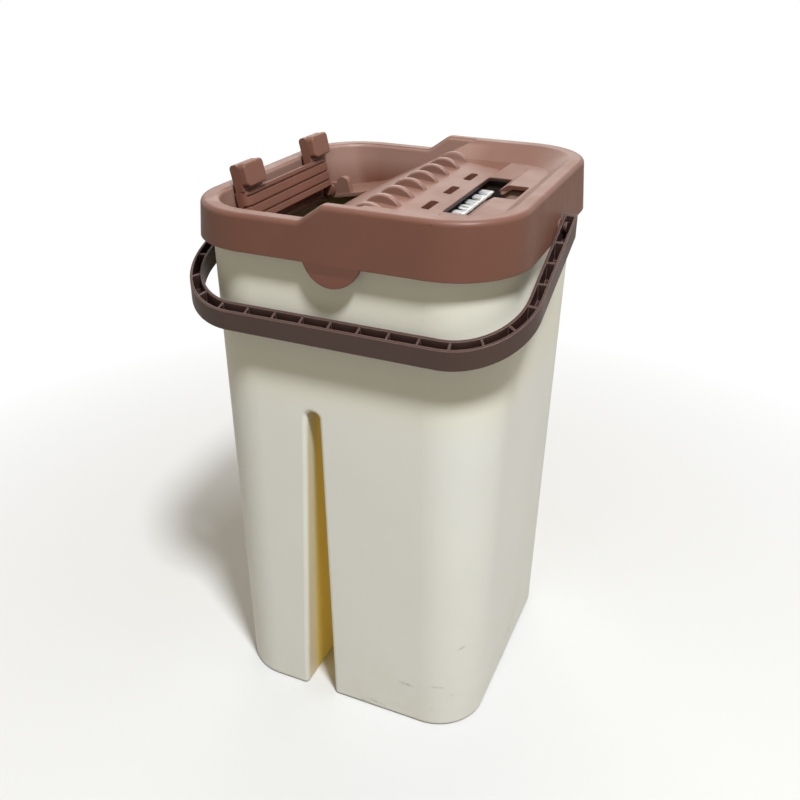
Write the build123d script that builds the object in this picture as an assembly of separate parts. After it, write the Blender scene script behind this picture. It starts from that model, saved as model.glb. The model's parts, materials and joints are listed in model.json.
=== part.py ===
from build123d import *
import math
import os

# Bucket for a flat mop: two wells under one cover that washes and wrings the mop.
# Millimetres, +Z up. The origin lies on the ground under the middle of the bucket.
# +X runs from the wringing side to the washing side, -Y towards the lowered handle.

# Bucket shell
base_length = 183.0
base_width = 186.0
base_corner = 34.5
rim_length = 191.5
rim_width = 194.5
rim_corner = 41.5
rim_height = 351.0
bucket_wall = 2.6
bucket_floor = 3.0
foot_radius = 2.5
well_radius = 2.0
slit_top = 234.0
slit_top_centre = -17.4
slit_top_width = 8.6
slit_top_round = 4.0
slit_foot_centre = -21.45
slit_foot_width = 22.1
slit_edge_radius = 3.0

# Cover, outside
skirt_gap = 6.4
skirt_corner = 46.0
skirt_overlap = 18.0
skirt_lean = 2.7
skirt_wall = 2.5
rim_land = 3.6
rim_step = 10.0
step_start = -18.2
step_run = 14.0
step_bend = 6.0
rim_edge_radius = 3.0
rim_inner_radius = 2.5
tab_centre = 2.5
tab_radius = 18.0
tab_rise = 5.3
tab_flare = 0.9
tab_flare_height = 7.0
seat_rib = 2.0
seat_rib_reach = 7.0

# Cover, tray and dish
tray_wall = 2.5
tray_gap = 0.9
tray_draft = 0.08
tray_corner = 34.0
ramp_inset = 39.75
ramp_foot_drop = 21.5
floor_slope = 10.4
ramp_bend = 40.0
crest_rise = 4.7
crest_radius = 14.0
strip_length = 43.0
shelf_rise = 4.8
shelf_inset = 10.3
shelf_side = 20.2
shelf_corner = 22.0
band_right = 11.5
band_side = 19.5
band_corner = 12.0
strip_taper = 5.0

# Cover, openings and what stands in the tray
slot_inset = 31.0
slot_width = 15.5
slot_half = 43.5
slot_rise = 1.0
slot_corner = 1.5
notch_inset = 12.0
notch_half = 14.9
hopper_lead = 6.0
hopper_end = 20.0
opening_inset = 8.25
opening_width = 32.5
opening_corner = 2.0
drain_gap = 10.2
drain_width = 5.0
drain_length = 18.0
drain_pitch = 36.0
drain_count = 3
drain_wall = 1.5
drain_drop = 6.0
fin_lead = 0.4
fin_length = 20.7
fin_rise = 5.2
fin_thickness = 4.6
fin_edge_radius = 1.2
fin_pitch = 19.8
fin_count = 8
chute_wall = 2.5
chute_drop = 29.0
chute_gap = 2.0
brush_room = 5.0
flange_drop = 39.0

# Squeeze flap, in its own frame: hinge axis at the origin, front towards +X
flap_half = 53.6
flap_end_gap = 0.7
flap_wall = 2.2
flap_front = 4.0
flap_depth = 8.5
flap_roll = 5.0
flap_low = 3.7
flap_high = 23.5
flap_lean = 13.0
groove_width = 1.2
groove_depth = 1.0
groove_first = 2.5
groove_pitch = 6.2
groove_count = 3
ear_width = 21.5
ear_back = -3.5
ear_front = 2.5
ear_root = 8.0
ear_top = 40.0
ear_radius = 2.5
pad_thickness = 5.0
pad_low = 25.6
pad_corner = 3.0
pad_edge_radius = 1.2
peg_radius = 2.5
peg_length = 4.0
hinge_inset = 11.25
hinge_rise = 4.0
hinge_boss = 4.5
hinge_pin_radius = 2.0
hinge_head_radius = 3.5
hinge_head = 1.2
heel_length = 3.5
lug_gap = 1.0
lug_width = 5.0
lug_skin = 1.5
lug_post_reach = 9.5
lug_post_radius = 4.5
lug_post_rise = 9.5
lug_foot = 6.0

# Bail handle
pivot_y = 0.0
pivot_drop = 12.5
arm_gap = 0.4
bar_clearance = 0.5
handle_slope = 23.3
handle_width = 8.0
handle_wall = 1.5
handle_web = 2.0
handle_bend = 41.5
handle_end = 5.6
handle_top = 4.4
handle_end_depth = 13.5
handle_bar_depth = 11.5
handle_rib = 1.2
handle_rib_drop = 0.8
handle_rib_pitch = 17.9
pin_radius = 2.5
pin_head_radius = 3.5
pin_head = 2.0
bucket_boss_radius = 4.5
skirt_boss_radius = 5.0

# Wash brush
backing_thickness = 2.6
backing_high = -2.0
backing_height = 16.0
backing_half = 32.5
slice_thickness = 0.8
slice_height = 7.0
tuft_rise = -7.0
tuft_pitch = 7.2
tuft_count = 9
tuft_rows = 6
strand_side = 0.42
strand_base_pitch = 0.56
strand_tip_pitch = 1.15
strand_length = 9.9
strand_root = 0.5

# Squeeze lip
lip_thickness = 2.0
lip_low = -38.0
lip_height = 12.0
lip_tip = 5.0
lip_tip_thickness = 0.8
clamp_thickness = 2.0
clamp_height = 7.0
clamp_low = -37.0

# Small screws
screw_radius = 1.25
screw_head_radius = 2.5
screw_head = 1.4
brush_screw_pitch = 28.0
brush_screw_count = 3
lip_screw_pitch = 32.0
lip_screw_count = 4

# Fits
loose_fit = 0.3
running_fit = 0.05

# Heights, half sizes and places that follow from the values above
seat = rim_height
skirt_low = seat - skirt_overlap
low_rim = seat + rim_land
high_rim = low_rim + rim_step
shelf = seat + shelf_rise
slot_edge = seat + slot_rise
crest_height = seat + crest_rise
ramp_foot_height = seat - ramp_foot_drop
tray_half_length = rim_length / 2 - bucket_wall - tray_gap - tray_wall
tray_half_width = rim_width / 2 - bucket_wall - tray_gap - tray_wall
skirt_half_length = rim_length / 2 + skirt_gap
skirt_half_width = rim_width / 2 + skirt_gap
tab_low = skirt_low + tab_rise - tab_radius
opening_half = flap_half + flap_end_gap
ear_centre = flap_half - ear_width / 2
pivot_height = rim_height - pivot_drop
arm_inner = skirt_half_length + arm_gap
arm_centre = arm_inner + handle_width / 2
handle_fall = math.tan(math.radians(handle_slope))
hinge_x = hinge_inset - tray_half_length
lug_post_x = hinge_x + lug_post_reach
opening_left = opening_inset - tray_half_length
opening_right = opening_left + opening_width
ramp_foot = ramp_inset - tray_half_length
shelf_right = tray_half_length - shelf_inset
shelf_half = tray_half_width - shelf_side
notch_right = tray_half_length - notch_inset
slot_right = tray_half_length - slot_inset
slot_left = slot_right - slot_width
drain_centre = slot_left - drain_gap
crest_x = slot_left - strip_length
ramp_grade = (crest_height - ramp_foot_height) / (crest_x - ramp_foot)
fin_left = crest_x - fin_lead
fin_right = fin_left + fin_length
chute_left = slot_left - brush_room
chute_right = slot_right + chute_gap
chute_end = slot_half + chute_gap


def outline(length, width, corner, height):
    """Rounded rectangle about the middle of the bucket."""
    return Pos(0, 0, height) * RectangleRounded(length, width, corner)


def along_y(face, half):
    """Solid with the given X-Z profile, as far to the front as to the back."""
    return extrude(Plane.XZ * face, half, both=True)


def slab(x_low, x_high, y_low, y_high, z_low, z_high):
    """Plain rectangular piece between the given planes."""
    middle = Pos((x_low + x_high) / 2, (y_low + y_high) / 2, (z_low + z_high) / 2)
    return middle * Box(x_high - x_low, y_high - y_low, z_high - z_low)


def rod_x(radius, x_first, x_last, y, z):
    """Round piece along X."""
    middle = Pos((x_first + x_last) / 2, y, z)
    return middle * Rot(0, 90, 0) * Cylinder(radius, abs(x_last - x_first))


def rod_y(radius, y_first, y_last, x, z):
    """Round piece along Y."""
    middle = Pos(x, (y_first + y_last) / 2, z)
    return middle * Rot(90, 0, 0) * Cylinder(radius, abs(y_last - y_first))


def region_above(points, bend, top):
    """Face in X-Z between a line with rounded bends and a level top."""
    line = FilletPolyline(*points, radius=bend)
    first, last = points[0], points[-1]
    closing = Polyline(last, (last[0], top), (first[0], top), first)
    return make_face(line + closing)


# Bucket shell
def bucket_size(height):
    """Length, width and corner radius of the shell's outside at a height."""
    share = height / rim_height
    length = base_length + share * (rim_length - base_length)
    width = base_width + share * (rim_width - base_width)
    corner = base_corner + share * (rim_corner - base_corner)
    return length, width, corner


def bucket_form(inset, low, high):
    """Tapered body of the shell, moved in by an inset."""
    sections = []
    for height in (low, high):
        length, width, corner = bucket_size(height)
        sections.append(outline(length - 2 * inset, width - 2 * inset, corner - inset, height))
    return loft(sections)


def slit_side(side, height):
    """X of a side wall of the slit at a height."""
    foot = slit_foot_centre + side * slit_foot_width / 2
    top = slit_top_centre + side * slit_top_width / 2
    return foot + (top - foot) * height / slit_top


def slit_space(grow):
    """Gap between the two legs, wider at its foot, with a round top."""
    low, high = -slit_foot_width, slit_top + grow
    left_foot, left_top = slit_side(-1, low) - grow, slit_side(-1, high) - grow
    right_foot, right_top = slit_side(1, low) + grow, slit_side(1, high) + grow
    line = FilletPolyline(
        (left_foot, low),
        (left_top, high),
        (right_top, high),
        (right_foot, low),
        radius=slit_top_round + grow,
    )
    return along_y(make_face(line + Line((right_foot, low), (left_foot, low))), rim_width)


def legs(inset, low, high, bottom_radius):
    """Shell body split by the slit, with rounded slit mouths and bottom edges."""
    body = bucket_form(inset, low, high) - slit_space(inset)
    reach = slit_foot_width / 2 + 2 * bucket_wall
    mouths = []
    for edge in body.edges():
        span = edge.bounding_box()
        near = max(slit_foot_centre - span.min.X, span.max.X - slit_foot_centre) < reach
        if near and abs(edge.center().Y) > base_width / 4:
            mouths.append(edge)
    body = fillet(mouths, slit_edge_radius)
    bottom = [edge for edge in body.edges() if edge.bounding_box().max.Z < low + bottom_radius / 4]
    return fillet(bottom, bottom_radius)


def bucket_shell():
    outside = legs(0, 0, rim_height, foot_radius)
    inside = legs(bucket_wall, bucket_floor, rim_height + bucket_wall, well_radius)
    boss_end = skirt_half_at(pivot_height + bucket_boss_radius) - skirt_wall - loose_fit
    wall_face = bucket_size(pivot_height)[0] / 2
    for side in (-1, 1):
        start = side * (wall_face - bucket_wall)
        outside += rod_x(bucket_boss_radius, start, side * boss_end, pivot_y, pivot_height)
    shell = outside - inside
    for side in (-1, 1):
        start = side * (wall_face - bucket_wall / 2)
        shell -= rod_x(pin_radius, start, side * skirt_half_length, pivot_y, pivot_height)
    return shell


# Cover
def skirt_half_at(height):
    """Half length of the cover's outside at a height."""
    return skirt_half_length - skirt_lean * (height - skirt_low) / (high_rim - skirt_low)


def skirt_form(inset, low, high):
    """Outside body of the cover, moved in by an inset."""
    sections = []
    for height in (low, high):
        half = skirt_half_at(height) - inset
        move = skirt_half_length - half
        width = 2 * (skirt_half_width - move)
        sections.append(outline(2 * half, width, skirt_corner - move, height))
    return loft(sections)


def over_rim(drop):
    """Space over the stepped rim, lowered by a drop."""
    points = [
        (-2 * skirt_half_length, low_rim - drop),
        (step_start, low_rim - drop),
        (step_start + step_run, high_rim - drop),
        (2 * skirt_half_length, high_rim - drop),
    ]
    return along_y(region_above(points, step_bend, high_rim + rim_step), 2 * skirt_half_width)


def floor_height(x):
    """Height of the tray floor left of the ramp."""
    return ramp_foot_height + (x - ramp_foot) * math.tan(math.radians(floor_slope))


def ramp_height(x):
    """Height of the ramp, carried on past the crest."""
    return ramp_foot_height + (x - ramp_foot) * ramp_grade


def strip_height(x):
    """Height of the strip between the crest and the T-slot."""
    return crest_height + (x - crest_x) * (slot_edge - crest_height) / (slot_left - crest_x)


def left_space(grow):
    """Room over the tray floor and the ramp on the wringing side."""
    sections = []
    for height in (floor_height(-skirt_half_length) - tray_wall, high_rim + rim_step):
        spread = tray_draft * (height - low_rim) + grow
        length = 2 * (tray_half_length + spread)
        width = 2 * (tray_half_width + spread)
        sections.append(outline(length, width, tray_corner + spread, height))
    points = [
        (-skirt_half_length, floor_height(-skirt_half_length) - grow),
        (ramp_foot, ramp_foot_height - grow),
        (skirt_half_length, ramp_height(skirt_half_length) - grow),
    ]
    top = ramp_height(skirt_half_length) + rim_step
    return loft(sections) & along_y(region_above(points, ramp_bend, top), skirt_half_width)


def strip_space(grow):
    """Room over the rounded crest and the strip beside the T-slot."""
    ramp_part = (ramp_foot + crest_x) / 2
    points = [
        (ramp_part, ramp_height(ramp_part) - grow),
        (crest_x, crest_height - grow),
        (slot_left, slot_edge - grow),
    ]
    line = FilletPolyline(*points, radius=crest_radius)
    far = slot_left + hopper_lead
    closing = Polyline(points[-1], (far, shelf), (ramp_part, shelf), points[0])
    run = along_y(make_face(line + closing), skirt_half_width)
    sections = []
    for height, half in ((slot_edge - grow, shelf_half - strip_taper), (shelf, shelf_half)):
        face = Rectangle(2 * skirt_half_length, 2 * (half + grow))
        sections.append(Pos(0, 0, height) * face)
    room = loft(sections) + extrude(sections[0], ramp_height(ramp_part) - slot_edge)
    return run & room


def right_space(grow):
    """Dish over the shelf on the washing side."""
    sections = []
    for height, share in ((shelf - grow, 0), (high_rim + shelf_rise, 1 + shelf_rise / (high_rim - shelf))):
        left = (ramp_foot + crest_x) / 2
        right = shelf_right + share * band_right + grow
        half = shelf_half + share * band_side + grow
        corner = shelf_corner + share * band_corner + grow
        face = RectangleRounded(right - left, 2 * half, corner)
        sections.append(Pos((left + right) / 2, 0, height) * face)
    return loft(sections)


def hopper_space(grow):
    """Sloped lead-in around the T-slot."""
    sections = []
    for height, lead, end in ((slot_edge, 0, 0), (shelf, hopper_lead, hopper_end)):
        length = slot_right - slot_left + lead + 2 * grow
        middle = (slot_left + slot_right + lead) / 2
        face = Rectangle(length, 2 * (slot_half + end + grow))
        sections.append(Pos(middle, 0, height - grow) * face)
    return loft(sections)


def tray_room(grow):
    return left_space(grow) + right_space(grow) + strip_space(grow) + hopper_space(grow)


def cover_openings():
    """T-slot, squeeze opening and drain slots, right through the tray."""
    middle = (slot_left + slot_right) / 2
    face = Pos(middle, 0) * RectangleRounded(slot_right - slot_left, 2 * slot_half, slot_corner)
    notch_start = middle
    notch = RectangleRounded(notch_right - notch_start, 2 * notch_half, slot_corner)
    face += Pos((notch_start + notch_right) / 2, 0) * notch
    middle = (opening_left + opening_right) / 2
    opening = RectangleRounded(opening_right - opening_left, 2 * opening_half, opening_corner)
    face += Pos(middle, 0) * opening + drain_plan(0)
    return extrude(Pos(0, 0, seat - flange_drop) * face, flange_drop + high_rim - seat)


def skirt_and_rim():
    outside = skirt_form(0, skirt_low, high_rim) - over_rim(0)
    rim_edges = [
        edge
        for edge in outside.edges()
        if edge.bounding_box().min.Z > low_rim - rim_land
        and max(abs(edge.center().X), abs(edge.center().Y)) > skirt_half_width / 2
    ]
    outside = fillet(rim_edges, rim_edge_radius)
    return outside - (skirt_form(skirt_wall, skirt_low - skirt_wall, high_rim) - over_rim(rim_land))


def front_tab():
    """Half-round finger tab under the front of the skirt, its lower part flared out."""
    disc = Pos(tab_centre, skirt_low + tab_rise) * Circle(tab_radius)
    keep = Pos(tab_centre, skirt_low - tab_radius) * Rectangle(2 * tab_radius, 2 * tab_radius)
    bend = tab_low + tab_flare_height
    side = Polyline(
        (0, skirt_low),
        (0, bend),
        (-tab_flare, tab_low),
        (-tab_flare - skirt_wall, tab_low),
        (-skirt_wall, bend),
        (-skirt_wall, skirt_low),
        close=True,
    )
    plate = Pos(tab_centre, 0, 0) * extrude(Plane.YZ * make_face(side), tab_radius, both=True)
    plate &= extrude(Plane.XZ * (disc & keep), skirt_wall + tab_flare)
    return Pos(0, skirt_wall - skirt_half_width, 0) * plate


def seat_ribs():
    """Ribs under the high rim that stand on the bucket's rim."""
    top = high_rim - rim_land / 2
    reach = skirt_half_length - skirt_wall
    ribs = Part()
    for share in (-1, 0, 1):
        y = share * shelf_half / 2
        ribs += slab(reach - seat_rib_reach, reach, y - seat_rib / 2, y + seat_rib / 2, seat, top)
    reach = skirt_half_width - skirt_wall
    for x in (fin_right, slot_right):
        for low, high in ((seat_rib_reach - reach, -reach), (reach - seat_rib_reach, reach)):
            ribs += slab(x - seat_rib / 2, x + seat_rib / 2, min(low, high), max(low, high), seat, top)
    return ribs


def chute_plan(grow):
    """T-shaped plan of the room under the slot, moved out by an amount."""
    middle = (chute_left + chute_right) / 2
    far = notch_right + chute_gap + grow
    face = Pos(middle, 0) * Rectangle(chute_right - chute_left + 2 * grow, 2 * (chute_end + grow))
    stem = Rectangle(far - middle, 2 * (notch_half + chute_gap + grow))
    return face + Pos((middle + far) / 2, 0) * stem


def chute():
    """Walls under the T-slot; the left one carries the brush."""
    low = seat - chute_drop
    return extrude(Pos(0, 0, low) * (chute_plan(chute_wall) - chute_plan(0)), shelf - low)


def drain_plan(grow):
    """Row of drain slots beside the T-slot, each moved out by an amount."""
    face = Sketch()
    for number in range(drain_count):
        y = (number - (drain_count - 1) / 2) * drain_pitch
        slot = RectangleRounded(drain_width + 2 * grow, drain_length + 2 * grow, slot_corner + grow)
        face += Pos(drain_centre, y) * slot
    return face


def drain_collars():
    """Short walls under the drain slots."""
    low = seat - drain_drop
    return extrude(Pos(0, 0, low) * drain_plan(drain_wall), shelf - low)


def fins():
    """Arched fins beside the crest."""
    middle = (fin_left + fin_right) / 2
    arc = ThreePointArc(
        (fin_left, strip_height(fin_left)),
        (middle, strip_height(middle) + fin_rise),
        (fin_right, strip_height(fin_right)),
    )
    sunk = strip_height(fin_right) - tray_wall / 2
    closing = Polyline(
        (fin_right, strip_height(fin_right)),
        (fin_right, sunk),
        (fin_left, sunk),
        (fin_left, strip_height(fin_left)),
    )
    fin = along_y(make_face(arc + closing), fin_thickness / 2)
    fin = fillet(fin.edges().filter_by(GeomType.CIRCLE), fin_edge_radius)
    row = Part()
    for number in range(fin_count):
        row += Pos(0, (number - (fin_count - 1) / 2) * fin_pitch, 0) * fin
    return row


hinge_height = floor_height(hinge_x) + hinge_rise


def lugs():
    """Two lugs beside the squeeze opening, each with a rounded post and a gusset."""
    post_height = hinge_height + lug_post_rise - lug_post_radius
    base = floor_height(hinge_x) - tray_wall
    gusset = Polyline(
        (hinge_x - hinge_boss - lug_foot / 2, base),
        (hinge_x - hinge_boss, hinge_height),
        (hinge_x, hinge_height + hinge_boss),
        (lug_post_x - lug_post_radius, post_height),
        (lug_post_x + lug_post_radius, post_height),
        (lug_post_x + lug_post_radius + lug_foot / 2, base),
        close=True,
    )
    face = make_face(gusset) + Pos(lug_post_x, post_height) * Circle(lug_post_radius)
    face += Pos(hinge_x, hinge_height) * Circle(hinge_boss)
    inner = flap_half + lug_gap
    lug = extrude(Plane.XZ * face, lug_width)
    pair = Pos(0, inner + lug_width, 0) * lug + Pos(0, -inner, 0) * lug
    return pair & left_space(tray_wall / 2)


def rim_top(x):
    """Height of the rim's top, without the rounding of its bends."""
    rise = (x - step_start) * rim_step / step_run
    return low_rim + min(max(rise, 0), rim_step)


def inner_rim_edges(body):
    """Edges where the walls of the tray meet the top of the rim."""
    inset = skirt_lean + rim_edge_radius + rim_land / 2
    size = (2 * (skirt_half_length - inset), 2 * (skirt_half_width - inset))
    middle = RectangleRounded(*size, skirt_corner - inset).face()
    edges = []
    for edge in body.edges():
        place = edge @ 0.5
        on_top = abs(place.Z - rim_top(place.X)) < rim_land / 2
        if on_top and middle.is_inside(Vector(place.X, place.Y, 0)):
            edges.append(edge)
    return edges


def cover_tray():
    low = seat - flange_drop
    body = skirt_and_rim() + (tray_room(tray_wall) - over_rim(0)) - tray_room(0)
    body = fillet(inner_rim_edges(body), rim_inner_radius)
    under = front_tab() + seat_ribs() + chute() + drain_collars()
    under += slab(opening_right, opening_right + chute_wall, -opening_half, opening_half, low, seat)
    for side in (-1, 1):
        start = side * (skirt_half_at(pivot_height) - skirt_wall)
        end = side * (arm_inner - loose_fit)
        under += rod_x(skirt_boss_radius, start, end, pivot_y, pivot_height)
    body += under - tray_room(0)
    body += fins() + lugs()
    body -= cover_openings()
    for side in (-1, 1):
        start = side * (tray_half_length + tray_wall)
        body -= rod_x(pin_radius + loose_fit, start, side * arm_centre, pivot_y, pivot_height)
    reach = flap_half + lug_gap + lug_width - lug_skin
    body -= rod_y(hinge_pin_radius, flap_half, reach, hinge_x, hinge_height)
    body -= rod_y(hinge_pin_radius, -reach, -flap_half, hinge_x, hinge_height)
    return body


# Squeeze flap
def flap_place(piece):
    return Pos(hinge_x, 0, hinge_height) * Rot(0, -flap_lean, 0) * piece


def flap_plan(inset, back):
    """Plan of the flap's front wall and cheeks, with rolled front corners."""
    half = flap_half - inset
    front = flap_front - inset
    line = FilletPolyline(
        (back, -half), (front, -half), (front, half), (back, half), radius=flap_roll - inset
    )
    return make_face(line + Line((back, half), (back, -half)))


def heel_drop():
    """How far under the hinge axis the cheek's heel reaches, just clear of the tray floor."""
    lean = math.radians(flap_lean)
    back = flap_front - flap_depth
    slope = math.tan(math.radians(floor_slope))
    level = back * (math.sin(lean) - slope * math.cos(lean))
    return (hinge_rise - loose_fit + level) / (math.cos(lean) + slope * math.sin(lean))


def squeeze_flap():
    back = flap_front - flap_depth
    plan = flap_plan(0, back)
    rise = flap_high - flap_low
    body = extrude(Pos(0, 0, flap_low) * (plan - flap_plan(flap_wall, back - flap_wall)), rise)
    face = Pos(flap_front, 0) * Rectangle(2 * flap_roll, 2 * flap_half)
    ring = extrude((plan - flap_plan(groove_depth, back - groove_depth)) & face, groove_width)
    for number in range(groove_count):
        body -= Pos(0, 0, flap_high - groove_first - groove_width - number * groove_pitch) * ring
    cheek = make_face(
        Polyline(
            (back, flap_low + flap_wall),
            (back, -heel_drop()),
            (back + heel_length, -heel_drop()),
            (0, -hinge_boss),
            (0, flap_low + flap_wall),
            close=True,
        )
    )
    cheek += Circle(hinge_boss)
    plate = extrude(Plane.XZ * cheek, flap_wall)
    body += Pos(0, flap_half, 0) * plate + Pos(0, flap_wall - flap_half, 0) * plate
    for side in (-1, 1):
        y = side * ear_centre
        ear = slab(
            ear_back, ear_front, y - ear_width / 2, y + ear_width / 2, flap_high - ear_root, ear_top
        )
        ear = fillet(ear.edges().filter_by(Axis.Y), ear_radius)
        free = slab(ear_back, ear_front, -flap_half, flap_half, flap_high, ear_top)
        body += ear & (free + extrude(Pos(0, 0, flap_low) * plan, rise))
        peg_height = (pad_low + ear_top) / 2
        body -= rod_x(peg_radius, ear_front - peg_length, ear_front, y, peg_height)
        inside = side * (flap_half - flap_wall)
        body -= rod_y(hinge_pin_radius + running_fit, inside, side * flap_half, 0, 0)
    return flap_place(body)


def flap_pad(side):
    """Rounded square pad with a peg in the flap's ear."""
    height = ear_top - pad_low
    middle = (pad_low + ear_top) / 2
    face = Pos(side * ear_centre, middle) * RectangleRounded(ear_width, height, pad_corner)
    pad = extrude(Plane.YZ.offset(ear_front) * face, pad_thickness)
    pad = fillet(pad.faces().sort_by(Axis.X)[-1].edges(), pad_edge_radius)
    return flap_place(pad + rod_x(peg_radius, ear_front - peg_length, ear_front, side * ear_centre, middle))


def flap_pin(side):
    """Pin pressed into the lug, on which the flap's cheek turns; its head is inside the cheek."""
    head = side * (flap_half - flap_wall - loose_fit)
    end = side * (flap_half + lug_gap + lug_width - lug_skin)
    pin = rod_y(hinge_pin_radius, head, end, hinge_x, hinge_height)
    return pin + rod_y(hinge_head_radius, head, head - side * hinge_head, hinge_x, hinge_height)


# Bail handle, in its own frame: pivot axis at the origin, bar towards -Y and lower, open side up
def bar_inner():
    """How far from the pivot the lowered bar's inner face stands, so that it swings past the tab's lip."""
    lip_reach = math.hypot(skirt_half_width + tab_flare + pivot_y, pivot_height - tab_low)
    swing = lip_reach + bar_clearance
    sloped = 1 + handle_fall**2
    lift = handle_fall * handle_top
    return (lift + math.sqrt(lift**2 + sloped * (swing**2 - handle_top**2))) / sloped


handle_reach = bar_inner() + handle_width / 2


def handle_outline(inset, end):
    """U-shaped outline of the handle, moved in by an inset."""
    side = arm_centre + handle_width / 2 - inset
    front = -handle_reach - handle_width / 2 + inset
    bend = handle_bend + handle_width / 2 - inset
    line = FilletPolyline((-side, end), (-side, front), (side, front), (side, end), radius=bend)
    return make_face(line + Line((side, end), (-side, end)))


def handle_top_at(y):
    """Height of the channel's open side, which slopes down to the bar."""
    return handle_top + y * handle_fall


def handle_layer(face, lift, drop):
    """Part of the channel's height: its bottom is lifted and its top dropped."""
    front = -handle_reach - handle_width / 2
    low = handle_top_at(front) - handle_bar_depth
    side = Polyline(
        (handle_end, handle_top_at(handle_end) - drop),
        (handle_end, handle_top_at(handle_end) - handle_end_depth + lift),
        (front, low + lift),
        (front, handle_top_at(front) - drop),
        close=True,
    )
    wedge = extrude(Plane.YZ * make_face(side), arm_centre + handle_width, both=True)
    tall = extrude(Pos(0, 0, low) * face, handle_top_at(handle_end) - low)
    return tall & wedge


def rib_places():
    """Middle and turn of every cross rib, from one arm round to the other."""
    bar_half = arm_centre - handle_bend
    bend_length = handle_bend * math.pi / 2
    arm_start = -handle_reach + handle_bend
    along = math.cos(math.radians(handle_slope))
    arm_length = (-arm_start - pin_head_radius) / along
    count = int((bar_half + bend_length + arm_length) / handle_rib_pitch)
    places = []
    for number in range(-count, count + 1):
        way = abs(number) * handle_rib_pitch
        turn = min(max((way - bar_half) / handle_bend, 0), math.pi / 2)
        x = min(way, bar_half) + handle_bend * math.sin(turn)
        y = arm_start - handle_bend * math.cos(turn) + max(way - bar_half - bend_length, 0) * along
        places.append((math.copysign(x, number), y, math.copysign(math.degrees(turn), number)))
    return places


def bail_handle():
    channel = handle_outline(handle_wall, handle_end - handle_wall)
    channel -= handle_outline(handle_width - handle_wall, handle_reach)
    strap = handle_outline(0, handle_end) - handle_outline(handle_width, handle_reach)
    body = handle_layer(strap, 0, 0) - handle_layer(channel, handle_web, 0)
    ribs = Sketch()
    for x, y, turn in rib_places():
        ribs += Pos(x, y) * Rot(0, 0, turn) * Rectangle(handle_rib, handle_width)
    body += handle_layer(ribs & channel, handle_web, handle_rib_drop)
    for side in (-1, 1):
        start = side * arm_inner
        body -= rod_x(pin_radius + running_fit, start, start + side * handle_wall, 0, 0)
    return Pos(0, pivot_y, pivot_height) * body


def handle_pin(side):
    """Pin through the arm and the skirt, pressed into the bucket's boss."""
    head = side * (arm_inner + handle_wall + loose_fit)
    start = side * (bucket_size(pivot_height)[0] / 2 - bucket_wall / 2)
    pin = rod_x(pin_radius, start, head, pivot_y, pivot_height)
    return pin + rod_x(pin_head_radius, head, head + side * pin_head, pivot_y, pivot_height)


# Wash brush
def brush_places():
    middle = (brush_screw_count - 1) / 2
    return [(number - middle) * brush_screw_pitch for number in range(brush_screw_count)]


def brush_screw_height():
    return seat + backing_high - backing_height + screw_head_radius + loose_fit


def brush_backing():
    high = seat + backing_high
    far = chute_left + backing_thickness
    backing = slab(chute_left, far, -backing_half, backing_half, high - backing_height, high)
    for y in brush_places():
        backing -= rod_x(screw_radius, chute_left, far, y, brush_screw_height())
    return backing


def brush_bristles():
    """Flared tufts on a thin slice of their backing, tips towards +X."""
    face = chute_left + backing_thickness
    height = seat + tuft_rise
    half = slice_height / 2
    base = slab(face, face + slice_thickness, -backing_half, backing_half, height - half, height + half)
    start = face + slice_thickness - strand_root
    strands = []
    middle = (tuft_rows - 1) / 2
    for tuft in range(tuft_count):
        y = (tuft - (tuft_count - 1) / 2) * tuft_pitch
        for row in range(tuft_rows):
            for column in range(tuft_rows):
                across, up = column - middle, row - middle
                foot = Pos(start, y + across * strand_base_pitch, height + up * strand_base_pitch)
                flare = strand_tip_pitch - strand_base_pitch
                way = Vector(strand_length, across * flare, up * flare)
                shape = foot * (Plane.YZ * Rectangle(strand_side, strand_side))
                strands.append(Solid.extrude(shape.face(), way))
    return base.fuse(*strands)


def brush_screws():
    face = chute_left + backing_thickness
    screws = []
    for y in brush_places():
        shank = rod_x(screw_radius, chute_left - chute_wall, face, y, brush_screw_height())
        head = rod_x(screw_head_radius, face, face + screw_head, y, brush_screw_height())
        screws.append((shank + head).solid())
    return Compound(screws)


# Squeeze lip
def lip_places():
    middle = (lip_screw_count - 1) / 2
    return [(number - middle) * lip_screw_pitch for number in range(lip_screw_count)]


def lip_screw_height():
    return seat + clamp_low + clamp_height / 2


def squeeze_lip():
    """Rubber blade against the flange, its thin edge leaning into the opening."""
    face = opening_right
    low = seat + lip_low
    profile = Polyline(
        (face, low),
        (face, low + lip_height),
        (face - lip_tip, low + lip_height + lip_tip_thickness),
        (face - lip_tip, low + lip_height),
        (face - lip_thickness, low + lip_height - lip_thickness),
        (face - lip_thickness, low),
        close=True,
    )
    lip = along_y(make_face(profile), flap_half)
    for y in lip_places():
        lip -= rod_x(screw_radius, face - lip_thickness, face, y, lip_screw_height())
    return lip


def lip_clamp():
    face = opening_right - lip_thickness
    low = seat + clamp_low
    clamp = slab(face - clamp_thickness, face, -flap_half, flap_half, low, low + clamp_height)
    for y in lip_places():
        clamp -= rod_x(screw_radius, face - clamp_thickness, face, y, lip_screw_height())
    return clamp


def lip_screws():
    face = opening_right - lip_thickness - clamp_thickness
    screws = []
    for y in lip_places():
        shank = rod_x(screw_radius, face, opening_right + chute_wall, y, lip_screw_height())
        head = rod_x(screw_head_radius, face - screw_head, face, y, lip_screw_height())
        screws.append((shank + head).solid())
    return Compound(screws)


def with_screw_holes(cover):
    """Cover with the holes that the small screws bite into."""
    for y in brush_places():
        cover -= rod_x(screw_radius, chute_left - chute_wall, chute_left, y, brush_screw_height())
    for y in lip_places():
        cover -= rod_x(screw_radius, opening_right, opening_right + chute_wall, y, lip_screw_height())
    return cover


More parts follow.
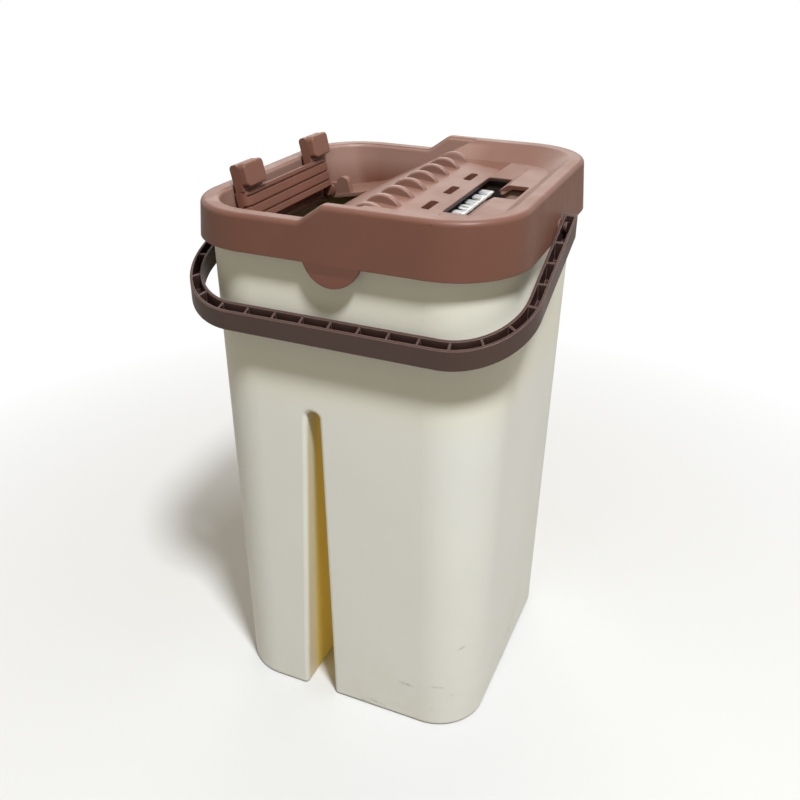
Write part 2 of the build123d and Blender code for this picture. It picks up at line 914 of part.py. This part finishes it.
nodes = {
    "bucket_shell": bucket_shell(),
    "cover_tray": with_screw_holes(cover_tray()),
    "bail_handle": bail_handle(),
    "handle_pin_left": handle_pin(-1),
    "handle_pin_right": handle_pin(1),
    "squeeze_flap": squeeze_flap(),
    "flap_pad_front": flap_pad(-1),
    "flap_pad_rear": flap_pad(1),
    "flap_pin_front": flap_pin(-1),
    "flap_pin_rear": flap_pin(1),
    "squeeze_lip": squeeze_lip(),
    "lip_clamp": lip_clamp(),
    "lip_screws": lip_screws(),
    "brush_backing": brush_backing(),
    "brush_bristles": brush_bristles(),
    "brush_screws": brush_screws(),
}

os.makedirs("parts", exist_ok=True)
for name, piece in nodes.items():
    export_step(piece, f"parts/{name}.step")
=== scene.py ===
import json
import math
import random

import bpy
from mathutils import Matrix, Vector


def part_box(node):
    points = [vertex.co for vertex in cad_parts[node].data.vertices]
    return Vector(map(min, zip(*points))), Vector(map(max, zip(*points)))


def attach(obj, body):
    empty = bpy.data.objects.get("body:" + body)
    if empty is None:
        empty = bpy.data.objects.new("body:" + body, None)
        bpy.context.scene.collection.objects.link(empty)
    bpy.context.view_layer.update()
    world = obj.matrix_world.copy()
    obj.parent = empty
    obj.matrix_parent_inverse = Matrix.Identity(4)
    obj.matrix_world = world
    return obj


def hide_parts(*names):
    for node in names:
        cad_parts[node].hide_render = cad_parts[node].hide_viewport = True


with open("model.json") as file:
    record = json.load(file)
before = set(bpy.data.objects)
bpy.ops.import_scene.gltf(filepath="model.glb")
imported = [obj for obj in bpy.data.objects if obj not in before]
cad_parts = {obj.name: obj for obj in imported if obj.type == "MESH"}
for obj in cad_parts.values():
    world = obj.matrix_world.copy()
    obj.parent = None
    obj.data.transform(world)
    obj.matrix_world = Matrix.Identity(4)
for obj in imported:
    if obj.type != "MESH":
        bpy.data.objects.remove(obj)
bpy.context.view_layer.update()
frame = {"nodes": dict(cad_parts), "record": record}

# Camera, fitted to the rim, the skirt and the feet of the bucket
image_pixels = 800
focal_pixels = 875.5
view_azimuth = math.radians(22.98)
view_elevation = math.radians(28.24)
view_roll = math.radians(0.50)
view_distance = 0.6187
view_height = 0.200
sensor_width = 36.0
clip_near = 0.01
clip_far = 100.0

# Colours of the plastics, the brush and the screws, and of the painted shade, light and glow, linear
cream = (0.820, 0.812, 0.755)
cream_upper_shade_tint = (0.815, 0.797, 0.688)
cream_stain = (0.560, 0.520, 0.330)
well_shade_olive = (0.240, 0.230, 0.090)
slit_painted_tan = (0.740, 0.670, 0.480)
slit_painted_ochre = (0.780, 0.560, 0.140)
slit_painted_glow = (0.063, 0.055, 0.0115)
scuff_grey = (0.230, 0.215, 0.170)
cover_brown = (0.153, 0.0635, 0.0412)
cover_painted_light = (0.560, 0.390, 0.330)
slot_painted_shade = (0.030, 0.022, 0.019)
flap_brown = (0.172, 0.074, 0.048)
pad_brown = (0.190, 0.086, 0.058)
handle_brown = (0.066, 0.037, 0.029)
handle_edge_wear_and_highlight = (0.330, 0.205, 0.175)
handle_channel_shade = (0.030, 0.014, 0.011)
lip_grey = (0.040, 0.036, 0.034)
brush_white = (0.640, 0.640, 0.645)
tip_painted_highlight = (0.880, 0.875, 0.840)
root_painted_shade = (0.050, 0.046, 0.050)
backing_brown = (0.040, 0.022, 0.016)
steel_grey = (0.560, 0.560, 0.550)

# Colours of the floor and the light, linear
floor_white = (0.700, 0.700, 0.698)
floor_bounce = (0.440, 0.428, 0.400)
world_white = (1.0, 1.0, 1.0)
fill_warm = (1.0, 0.87, 0.62)
key_cool = (0.94, 0.97, 1.0)
back_warm = (1.0, 0.94, 0.84)

# Light
world_strength = 0.212
key_azimuth = math.radians(43.0)
key_elevation = math.radians(60.0)
key_distance = 1.7
key_size = 0.25
key_power = 36.3
top_height = 1.7
top_size = 1.6
top_power = 3.0
back_elevation = math.radians(35.0)
back_distance = 2.0
back_size = 1.8
back_power = 12.8
light_aim = Vector((0.0, 0.0, 0.25))

# Below, a scale counts noise features per metre. A pair named range, heights, side, ends, reach or facing
# gives where a mask starts and where it is full, and a range of four also the values that it turns into.

# Moulded plastics
plastic_specular = 0.34
cloud_scale = 14.0
cloud_range = (0.35, 0.65)
cloud_change = 0.06
edge_radius = 0.0007
edge_samples = 4
edge_range = (0.97, 0.72)
wear_scale = 160.0
wear_range = (0.35, 0.70, 0.30, 1.0)
wear_share = 0.25
wear_tone = 1.9
gloss_scale = 46.0
gloss_detail = 6.0
gloss_range = (0.30, 0.70)
gloss_change = (-0.05, 0.07)
grain_scale = 900.0
grain_detail = 2.0
grain_strength = 0.10
grain_depth = 0.00012

# Roughness of the plastics, and what the rubber and the backing have otherwise
cover_rough = 0.42
flap_rough = 0.43
handle_rough = 0.44
rubber_rough = 0.55
rubber_wear = 0.12
rubber_grain_scale = 1400.0
backing_rough = 0.60
backing_wear = 0.10

# Bucket: clouds, a painted yellow shade tint over the band around the top, stains and marks low down
cream_scale = 7.0
cream_tones = (0.975, 1.02)
upper_shade_heights = (0.228, 0.252)
stain_heights = (0.075, 0.0)
stain_scale = 24.0
stain_detail = 7.0
stain_range = (0.42, 0.75)
stain_share = 0.28
mark_heights = (0.045, 0.015)
mark_scale = 60.0
mark_detail = 8.0
mark_rough = 0.7
mark_stretch = (0.5, 0.5, 2.4)
mark_range = (0.63, 0.72)
mark_share = 0.55
bucket_gloss_scale = 38.0
bucket_gloss_range = (0.30, 0.70, 0.42, 0.54)
bucket_grain_scale = 700.0
bucket_grain_strength = 0.08

# Scuffs low on the bucket: place, half sizes, tilt in degrees, and their reach in half sizes
scuffs = (
    ((0.046, -0.0935, 0.0325), (0.0075, 0.0030, 0.0016), 3.0),
    ((0.071, -0.0935, 0.0365), (0.0090, 0.0050, 0.0015), 4.0),
    ((0.065, -0.0935, 0.0155), (0.0018, 0.0030, 0.0018), 0.0),
    ((0.082, -0.0850, 0.0710), (0.0035, 0.0060, 0.0016), -30.0),
    ((0.092, 0.0020, 0.0185), (0.0030, 0.0030, 0.0026), 0.0),
    ((0.092, -0.0055, 0.0172), (0.0030, 0.0024, 0.0020), 0.0),
    ((0.092, -0.0180, 0.0090), (0.0030, 0.0020, 0.0020), 0.0),
)
scuff_scale = 420.0
scuff_range = (0.38, 0.62, 0.12, 0.50)
scuff_reach = (1.0, 0.2)

# Painted shade on the walls inside the wells, found by the way that they face
well_shade_facing = (-0.030, -0.060)
well_shade_share = 0.60

# Painted yellow shade and glow on the walls of the slit between the legs, for light through the plastic, its
# reaches measured on |y| at the foot of the leaning faces
slit_left_side = (-0.036, -0.034)
slit_right_side = (-0.007, -0.009)
slit_mouth_reach = (0.0925, 0.0885)
slit_depth_reach = (0.0830, 0.0750)
face_lean = 0.0121

# Edges of the handle, rubbed and with a painted highlight, and painted shade in its channel
rubbed_and_highlight_share = 0.90
channel_reach = 0.008
channel_samples = 8
channel_range = (0.90, 0.50)

# Cover: painted light on the walls around the tray, on the ramp and in the notch, and painted shade in the
# depth of the wash slot
wall_facing = (-0.055, -0.072)
wall_heights = (0.330, 0.345)
wall_light_share = 0.32
tray_reach = (0.0880, 0.0850)
ramp_side = (0.0320, 0.0160)
ramp_light_share = 0.15
slot_left_side = (0.0405, 0.0430)
slot_right_side = (0.0605, 0.0590)
slot_ends = (0.0480, 0.0460)
slot_heights = (0.3522, 0.3505)
notch_side = (0.0596, 0.0606)
notch_ends = (0.0185, 0.0170)
notch_light_share = 0.60

# Drawn steel of the screws
steel_scale = 260.0
steel_stretch = (0.08, 0.08, 1.0)
steel_tones = (0.85, 1.10)
steel_gloss_range = (0.30, 0.70, 0.25, 0.40)
steel_strength = 0.05
steel_depth = 0.0001

# Nylon of the brush, with painted shade from its roots and a painted highlight from its tips, as distances
# from either end
fibre_scale = 900.0
fibre_stretch = (0.2, 1.0, 1.0)
fibre_range = (0.35, 0.60)
fibre_tones = (0.78, 1.10)
fibre_gloss_range = (0.30, 0.70, 0.34, 0.50)
fibre_strength = 0.10
fibre_depth = 0.0001
root_shade_reach = (0.0024, 0.0012)
tip_highlight_reach = (0.0018, 0.0010)

# Tufts of the brush: pairs give the value at the root and at the tip, and wide and tall are half sizes
tuft_count = 5
tuft_pitch = 0.0126
tuft_columns = 26
tuft_layers = 6
tuft_wide = (0.0034, 0.0060)
tuft_tall = (0.0013, 0.0007)
tuft_sweep = (0.0020, -0.0020)
tuft_rise = (0.0020, 0.0026)
tuft_rounding = 0.6
slice_thickness = 0.0008
brush_seed = 7

# Strands of the tufts: points as shares of the length, and how far a strand departs from straight
strand_shares = (0.0, 0.35, 0.70, 1.0)
strand_width = 0.00034
strand_tip_share = 0.8
strand_sunk = 0.0005
strand_bend = 0.0003
strand_stray = 0.00022
strand_trim = 0.0003
strand_corners = ((-0.5, -0.5), (0.5, -0.5), (0.5, 0.5), (-0.5, 0.5))

# Floor, white to the camera further off
floor_half = 6.0
floor_far_reach = (0.20, 0.60)
floor_scale = 3.0
floor_range = (0.30, 0.70)
floor_tone = 0.995
floor_rough = 0.9


def towards(azimuth, elevation):
    """Unit vector from the bucket, the azimuth turning from the front to the right."""
    flat = math.cos(elevation)
    return Vector((math.sin(azimuth) * flat, -math.cos(azimuth) * flat, math.sin(elevation)))


def camera():
    back = towards(view_azimuth, view_elevation)
    right = Vector((0, 0, 1)).cross(back).normalized()
    up = back.cross(right)
    side = right * math.cos(view_roll) + up * math.sin(view_roll)
    top = up * math.cos(view_roll) - right * math.sin(view_roll)
    data = bpy.data.cameras.new("camera")
    data.sensor_width = sensor_width
    data.lens = sensor_width * focal_pixels / image_pixels
    data.clip_start = clip_near
    data.clip_end = clip_far
    eye = bpy.data.objects.new("camera", data)
    turn = Matrix((side, top, back)).transposed().to_4x4()
    eye.matrix_world = Matrix.Translation(Vector((0, 0, view_height)) + back * view_distance) @ turn
    bpy.context.collection.objects.link(eye)
    bpy.context.scene.camera = eye


def lamp(name, place, size, power, colour):
    data = bpy.data.lights.new(name, "AREA")
    data.shape = "DISK"
    data.size = size
    data.energy = power
    data.color = colour
    light = bpy.data.objects.new(name, data)
    light.location = place
    light.rotation_mode = "QUATERNION"
    light.rotation_quaternion = (light_aim - place).to_track_quat("-Z", "Y")
    bpy.context.collection.objects.link(light)


def lights():
    """Key light at the front right, soft light from above and a panel behind for the sheen on the tops."""
    key_place = light_aim + towards(key_azimuth, key_elevation) * key_distance
    lamp("key_light", key_place, key_size, key_power, key_cool)
    lamp("top_light", Vector((0.0, 0.0, top_height)), top_size, top_power, world_white)
    back_place = light_aim + towards(view_azimuth + math.pi, back_elevation) * back_distance
    lamp("back_panel", back_place, back_size, back_power, back_warm)
    bpy.context.scene.world = studio_world()


def background_seen(tree):
    """One where the background shows: to the camera, in gloss and through glass."""
    path = tree.nodes.new("ShaderNodeLightPath")
    seen = path.outputs["Is Camera Ray"]
    for ray in ("Is Glossy Ray", "Is Transmission Ray"):
        either = tree.nodes.new("ShaderNodeMath")
        either.operation = "MAXIMUM"
        tree.links.new(seen, either.inputs[0])
        tree.links.new(path.outputs[ray], either.inputs[1])
        seen = either.outputs["Value"]
    return seen


def studio_world():
    """White where it shows, dimmer and warm as a fill light."""
    world = bpy.data.worlds.new("studio")
    world.use_nodes = True
    tree = world.node_tree
    shade = tree.nodes.new("ShaderNodeMix")
    shade.data_type = "RGBA"
    shade.inputs["A"].default_value = (*tone(fill_warm, world_strength), 1.0)
    shade.inputs["B"].default_value = (*world_white, 1.0)
    tree.links.new(background_seen(tree), shade.inputs["Factor"])
    tree.links.new(shade.outputs["Result"], tree.nodes["Background"].inputs["Color"])
    return world


def tone(colour, factor):
    return tuple(min(part * factor, 1.0) for part in colour)


class Look:
    """One node material: a principled shader, its base colour so far and short ways to wire textures."""

    def __init__(self, name):
        self.material = bpy.data.materials.new(name)
        self.material.use_nodes = True
        self.tree = self.material.node_tree
        self.shader = self.tree.nodes["Principled BSDF"]
        self.place = self.node("ShaderNodeTexCoord").outputs["Object"]
        self.base = None

    def node(self, kind, **values):
        made = self.tree.nodes.new(kind)
        for key, value in values.items():
            setattr(made, key, value)
        return made

    def wire(self, source, target):
        """Another socket wired to the target, or a colour or a number set on it."""
        if isinstance(source, tuple):
            target.default_value = (*source, 1.0)
        elif isinstance(source, float):
            target.default_value = source
        else:
            self.tree.links.new(source, target)

    def noise(self, scale, detail=4.0, rough=0.55, stretch=(1.0, 1.0, 1.0)):
        mapping = self.node("ShaderNodeMapping")
        mapping.inputs["Scale"].default_value = stretch
        self.wire(self.place, mapping.inputs["Vector"])
        made = self.node("ShaderNodeTexNoise")
        self.wire(mapping.outputs["Vector"], made.inputs["Vector"])
        self.wire(scale, made.inputs["Scale"])
        self.wire(detail, made.inputs["Detail"])
        self.wire(rough, made.inputs["Roughness"])
        return made.outputs["Fac"]

    def span(self, value, low, high, to_low=0.0, to_high=1.0):
        made = self.node("ShaderNodeMapRange", clamp=True)
        self.wire(value, made.inputs["Value"])
        self.wire(low, made.inputs["From Min"])
        self.wire(high, made.inputs["From Max"])
        self.wire(to_low, made.inputs["To Min"])
        self.wire(to_high, made.inputs["To Max"])
        return made.outputs["Result"]

    def times(self, first, *others):
        for other in others:
            made = self.node("ShaderNodeMath", operation="MULTIPLY")
            self.wire(first, made.inputs[0])
            self.wire(other, made.inputs[1])
            first = made.outputs["Value"]
        return first

    def axis(self, name):
        made = self.node("ShaderNodeSeparateXYZ")
        self.wire(self.place, made.inputs["Vector"])
        return made.outputs[name]

    def size(self, name):
        """Distance from the middle along one axis."""
        made = self.node("ShaderNodeMath", operation="ABSOLUTE")
        self.wire(self.axis(name), made.inputs[0])
        return made.outputs["Value"]

    def length(self, vector):
        made = self.node("ShaderNodeVectorMath", operation="LENGTH")
        self.wire(vector, made.inputs[0])
        return made.outputs["Value"]

    def dot(self, first, second):
        made = self.node("ShaderNodeVectorMath", operation="DOT_PRODUCT")
        self.wire(first, made.inputs[0])
        self.wire(second, made.inputs[1])
        return made.outputs["Value"]

    def normal(self):
        return self.node("ShaderNodeNewGeometry").outputs["Normal"]

    def facing(self):
        """Distance from the middle axis, less than nought on walls that face the axis."""
        around = self.node("ShaderNodeVectorMath", operation="MULTIPLY")
        self.wire(self.place, around.inputs[0])
        around.inputs[1].default_value = (1.0, 1.0, 0.0)
        return self.dot(around.outputs["Vector"], self.normal())

    def mixed(self, share, first, second):
        made = self.node("ShaderNodeMix", data_type="RGBA")
        self.wire(share, made.inputs["Factor"])
        self.wire(first, made.inputs["A"])
        self.wire(second, made.inputs["B"])
        return made.outputs["Result"]

    def clouded(self, share, colour, tones):
        """Base colour that changes between two tones of one colour."""
        self.base = self.mixed(share, tone(colour, tones[0]), tone(colour, tones[1]))
        self.wire(self.base, self.shader.inputs["Base Color"])

    def paint(self, share, colour):
        """A share of another colour over the base colour so far."""
        self.base = self.mixed(share, self.base, colour)
        self.wire(self.base, self.shader.inputs["Base Color"])

    def edges(self):
        """Share of edge wear and the normal softened over the edges."""
        soft = self.node("ShaderNodeBevel", samples=edge_samples)
        self.wire(edge_radius, soft.inputs["Radius"])
        return self.span(self.dot(soft.outputs["Normal"], self.normal()), *edge_range), soft.outputs["Normal"]

    def relief(self, height, strength, depth, normal=None):
        made = self.node("ShaderNodeBump")
        self.wire(strength, made.inputs["Strength"])
        self.wire(depth, made.inputs["Distance"])
        self.wire(height, made.inputs["Height"])
        if normal:
            self.wire(normal, made.inputs["Normal"])
        self.wire(made.outputs["Normal"], self.shader.inputs["Normal"])


def moulded(name, colour, rough, wear=wear_share, grain=grain_scale):
    """Satin moulded plastic: soft tone changes, fine grain and paler worn edges."""
    look = Look(name)
    clouds = look.span(look.noise(cloud_scale), *cloud_range)
    look.clouded(clouds, colour, (1.0 - cloud_change, 1.0 + cloud_change))
    worn, soft = look.edges()
    patches = look.span(look.noise(wear_scale), *wear_range)
    look.paint(look.times(worn, patches, wear), tone(colour, wear_tone))
    roughness = (rough + change for change in gloss_change)
    gloss = look.span(look.noise(gloss_scale, detail=gloss_detail), *gloss_range, *roughness)
    look.wire(gloss, look.shader.inputs["Roughness"])
    look.wire(plastic_specular, look.shader.inputs["Specular IOR Level"])
    look.relief(look.noise(grain, detail=grain_detail), grain_strength, grain_depth, soft)
    return look


def rubber_look(name, colour):
    return moulded(name, colour, rubber_rough, rubber_wear, rubber_grain_scale)


def handle_look():
    """Dark brown plastic with painted shade in its channel, and edges that are partly rubbed and partly a
    painted highlight.
    """
    look = moulded("handle_brown", handle_brown, handle_rough)
    # Painted shade in the channel, from ambient occlusion
    hollow = look.node("ShaderNodeAmbientOcclusion", samples=channel_samples)
    look.wire(channel_reach, hollow.inputs["Distance"])
    look.paint(look.span(hollow.outputs["AO"], *channel_range), handle_channel_shade)
    # Paler edges: rubbed wear and a painted highlight
    worn, _ = look.edges()
    look.paint(look.times(worn, rubbed_and_highlight_share), handle_edge_wear_and_highlight)
    return look


def cover_look():
    """Brown plastic with painted light on the tray's walls, on the ramp and in the notch, and painted shade
    in the wash slot.
    """
    look = moulded("cover_brown", cover_brown, cover_rough)
    across, along, height = look.axis("X"), look.size("Y"), look.axis("Z")
    inside = look.span(look.size("X"), *tray_reach)
    below = look.span(height, *slot_heights)
    # Painted light on the walls around the tray and on the ramp
    walls = look.times(look.span(look.facing(), *wall_facing), look.span(height, *wall_heights))
    look.paint(look.times(walls, wall_light_share), cover_painted_light)
    ramp = look.times(inside, look.span(along, *tray_reach), look.span(across, *ramp_side))
    look.paint(look.times(ramp, ramp_light_share), cover_painted_light)
    # Painted shade in the depth of the wash slot
    slot = look.times(look.span(across, *slot_left_side), look.span(across, *slot_right_side))
    look.paint(look.times(slot, look.span(along, *slot_ends), below), slot_painted_shade)
    # Painted light in the notch
    notch = look.times(look.span(across, *notch_side), look.span(along, *notch_ends), inside, below)
    look.paint(look.times(notch, notch_light_share), cover_painted_light)
    return look


def paint_slit_shade_and_glow(look):
    """Painted yellow shade on the walls of the slit, and a painted glow in its depth for light that comes
    through them.
    """
    across = look.axis("X")
    within = look.times(look.span(across, *slit_left_side), look.span(across, *slit_right_side))
    at_foot = look.node("ShaderNodeMath", operation="MULTIPLY_ADD")
    look.wire(look.axis("Z"), at_foot.inputs[0])
    look.wire(-face_lean, at_foot.inputs[1])
    look.wire(look.size("Y"), at_foot.inputs[2])
    mouth = look.times(within, look.span(at_foot.outputs["Value"], *slit_mouth_reach))
    depth = look.times(within, look.span(at_foot.outputs["Value"], *slit_depth_reach))
    # Painted yellow tint at the mouth, painted ochre shade deeper in, and a painted glow there
    look.paint(mouth, slit_painted_tan)
    look.paint(depth, slit_painted_ochre)
    look.wire(slit_painted_glow, look.shader.inputs["Emission Color"])
    look.wire(depth, look.shader.inputs["Emission Strength"])


def scuff(look, place, half_sizes, tilt):
    """A broken streak around a place."""
    near = look.node("ShaderNodeMapping", vector_type="TEXTURE")
    look.wire(look.place, near.inputs["Vector"])
    near.inputs["Location"].default_value = place
    near.inputs["Rotation"].default_value = (0.0, math.radians(tilt), 0.0)
    near.inputs["Scale"].default_value = half_sizes
    streak = look.span(look.length(near.outputs["Vector"]), *scuff_reach)
    look.paint(look.times(streak, look.span(look.noise(scuff_scale), *scuff_range)), scuff_grey)


def bucket_look():
    """Cream plastic: a painted yellow shade tint around the top, yellower stains low down, scuffs over the
    feet, painted shade on the walls inside the wells, and painted yellow shade and glow in the slit.
    """
    look = Look("bucket_cream")
    look.clouded(look.span(look.noise(cream_scale), *cloud_range), cream, cream_tones)
    height = look.axis("Z")
    # Painted yellow shade tint over the top of the bucket, where the skirt and the handle shade it
    look.paint(look.span(height, *upper_shade_heights), cream_upper_shade_tint)
    stains = look.span(look.noise(stain_scale, detail=stain_detail), *stain_range)
    look.paint(look.times(stains, look.span(height, *stain_heights), stain_share), cream_stain)
    marks = look.span(look.noise(mark_scale, mark_detail, mark_rough, mark_stretch), *mark_range)
    look.paint(look.times(marks, look.span(height, *mark_heights), mark_share), scuff_grey)
    for mark in scuffs:
        scuff(look, *mark)
    # Painted shade on the walls that face inwards
    look.paint(look.times(look.span(look.facing(), *well_shade_facing), well_shade_share), well_shade_olive)
    paint_slit_shade_and_glow(look)
    gloss = look.span(look.noise(bucket_gloss_scale, detail=gloss_detail), *bucket_gloss_range)
    look.wire(gloss, look.shader.inputs["Roughness"])
    look.wire(plastic_specular, look.shader.inputs["Specular IOR Level"])
    look.relief(look.noise(bucket_grain_scale, detail=grain_detail), bucket_grain_strength, grain_depth)
    return look


def steel_look():
    look = Look("drawn_steel")
    streaks = look.noise(steel_scale, stretch=steel_stretch)
    look.clouded(streaks, steel_grey, steel_tones)
    look.wire(1.0, look.shader.inputs["Metallic"])
    look.wire(look.span(streaks, *steel_gloss_range), look.shader.inputs["Roughness"])
    look.relief(streaks, steel_strength, steel_depth)
    return look


def fibre_look():
    """White nylon, with painted shade between the roots and a painted highlight at the tips."""
    look = Look("white_nylon")
    streaks = look.noise(fibre_scale, stretch=fibre_stretch)
    look.clouded(look.span(streaks, *fibre_range), brush_white, fibre_tones)
    low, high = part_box("brush_bristles")
    root = low[0] + slice_thickness
    across = look.axis("X")
    # Painted highlight at the tips and painted shade at the roots
    look.paint(look.span(across, *(high[0] - reach for reach in tip_highlight_reach)), tip_painted_highlight)
    look.paint(look.span(across, *(root + reach for reach in root_shade_reach)), root_painted_shade)
    look.wire(look.span(streaks, *fibre_gloss_range), look.shader.inputs["Roughness"])
    look.relief(streaks, fibre_strength, fibre_depth)
    return look


looks = {
    "bucket_plastic": bucket_look(),
    "cover_plastic": cover_look(),
    "handle_plastic": handle_look(),
    "flap_plastic": moulded("flap_brown", flap_brown, flap_rough),
    "pad_rubber": rubber_look("pad_brown", pad_brown),
    "lip_rubber": rubber_look("lip_grey", lip_grey),
    "steel": steel_look(),
    "brush_plastic": moulded("backing_brown", backing_brown, backing_rough, backing_wear),
    "brush_fibre": fibre_look(),
}


def dress_nodes():
    for row in frame["record"]["subparts"]:
        node = frame["nodes"][row["node"]]
        for holder in node.material_slots:
            holder.material = looks[row["material_slot"]].material


def between(ends, share):
    return ends[0] + (ends[1] - ends[0]) * share


def slice_block(verts, faces, low, high):
    """Slice of the backing that the strands stand on."""
    verts.extend((x, y, z) for x in (low[0], high[0]) for y in (low[1], high[1]) for z in (low[2], high[2]))
    faces.extend([(0, 1, 3, 2), (4, 6, 7, 5), (0, 4, 5, 1), (2, 3, 7, 6), (0, 2, 6, 4), (1, 5, 7, 3)])


def strand(verts, faces, points):
    """Closed four-sided strand through the points, narrower at its tip."""
    first = len(verts)
    sides = len(strand_corners)
    widths = [strand_width] * (len(points) - 1) + [strand_width * strand_tip_share]
    for point, width in zip(points, widths):
        for across, up in strand_corners:
            verts.append((point[0], point[1] + across * width, point[2] + up * width))
    last = len(verts) - sides
    for ring in range(first, last, sides):
        for side in range(sides):
            after = (side + 1) % sides
            faces.append((ring + side, ring + after, ring + sides + after, ring + sides + side))
    faces.append(tuple(range(last, last + sides)))
    faces.append(tuple(reversed(range(first, first + sides))))


def strand_points(draw, ends_x, middle_y, middle_z, across, up):
    """Points of one strand, whose place in its tuft runs from -1 to 1 across and up."""
    ends_x = (ends_x[0], ends_x[1] - draw.uniform(0, strand_trim))
    bow_y, bow_z, stray_y, stray_z = (draw.uniform(-1, 1) for _ in range(4))
    points = []
    for share in strand_shares:
        bow = 4 * share * (1 - share) * strand_bend
        stray = strand_stray * share
        side = across * between(tuft_wide, share) + between(tuft_sweep, share) + bow_y * bow + stray_y * stray
        rise = up * between(tuft_tall, share) + between(tuft_rise, share) + bow_z * bow + stray_z * stray
        points.append((between(ends_x, share), middle_y + side, middle_z + rise))
    return points


def brush_tufts():
    """Dense flared tufts on the face of their backing."""
    low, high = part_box("brush_bristles")
    draw = random.Random(brush_seed)
    root = low[0] + slice_thickness
    middle_y, middle_z = (low[1] + high[1]) / 2, (low[2] + high[2]) / 2
    verts, faces = [], []
    slice_block(verts, faces, low, (root, high[1], high[2]))
    for tuft in range(tuft_count):
        tuft_y = middle_y + (tuft - (tuft_count - 1) / 2) * tuft_pitch
        for column in range(tuft_columns):
            across = 2 * column / (tuft_columns - 1) - 1
            rounding = math.sqrt(1 - tuft_rounding * across**2)
            for layer in range(tuft_layers):
                up = (2 * layer / (tuft_layers - 1) - 1) * rounding
                points = strand_points(draw, (root - strand_sunk, high[0]), tuft_y, middle_z, across, up)
                strand(verts, faces, points)
    mesh = bpy.data.meshes.new("brush_tufts")
    mesh.from_pydata(verts, [], faces)
    mesh.materials.append(looks["brush_fibre"].material)
    tufts = bpy.data.objects.new("brush_tufts", mesh)
    bpy.context.collection.objects.link(tufts)
    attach(tufts, "bucket")
    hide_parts("brush_bristles")


def floor_look():
    """Pale where it shows, dimmer as it lights the bucket, and white to the camera further off."""
    look = Look("pale_floor")
    look.clouded(look.span(look.noise(floor_scale), *floor_range), floor_white, (floor_tone, 1.0))
    shown = look.mixed(background_seen(look.tree), floor_bounce, look.base)
    look.wire(shown, look.shader.inputs["Base Color"])
    look.wire(floor_rough, look.shader.inputs["Roughness"])
    look.wire(0.0, look.shader.inputs["Specular IOR Level"])
    far = look.span(look.length(look.place), *floor_far_reach)
    glow = look.node("ShaderNodeEmission")
    look.wire(world_white, glow.inputs["Color"])
    blend = look.node("ShaderNodeMixShader")
    to_camera = look.node("ShaderNodeLightPath").outputs["Is Camera Ray"]
    look.wire(look.times(far, to_camera), blend.inputs["Fac"])
    look.wire(look.shader.outputs["BSDF"], blend.inputs[1])
    look.wire(glow.outputs["Emission"], blend.inputs[2])
    look.wire(blend.outputs["Shader"], look.tree.nodes["Material Output"].inputs["Surface"])
    return look


def studio_floor():
    mesh = bpy.data.meshes.new("studio_floor")
    corners = [(x * floor_half, y * floor_half, 0) for x, y in ((-1, -1), (1, -1), (1, 1), (-1, 1))]
    mesh.from_pydata(corners, [], [(0, 1, 2, 3)])
    mesh.materials.append(floor_look().material)
    floor = bpy.data.objects.new("studio_floor", mesh)
    bpy.context.collection.objects.link(floor)


camera()
lights()
dress_nodes()
brush_tufts()
studio_floor()
bpy.context.scene.view_settings.view_transform = "Standard"
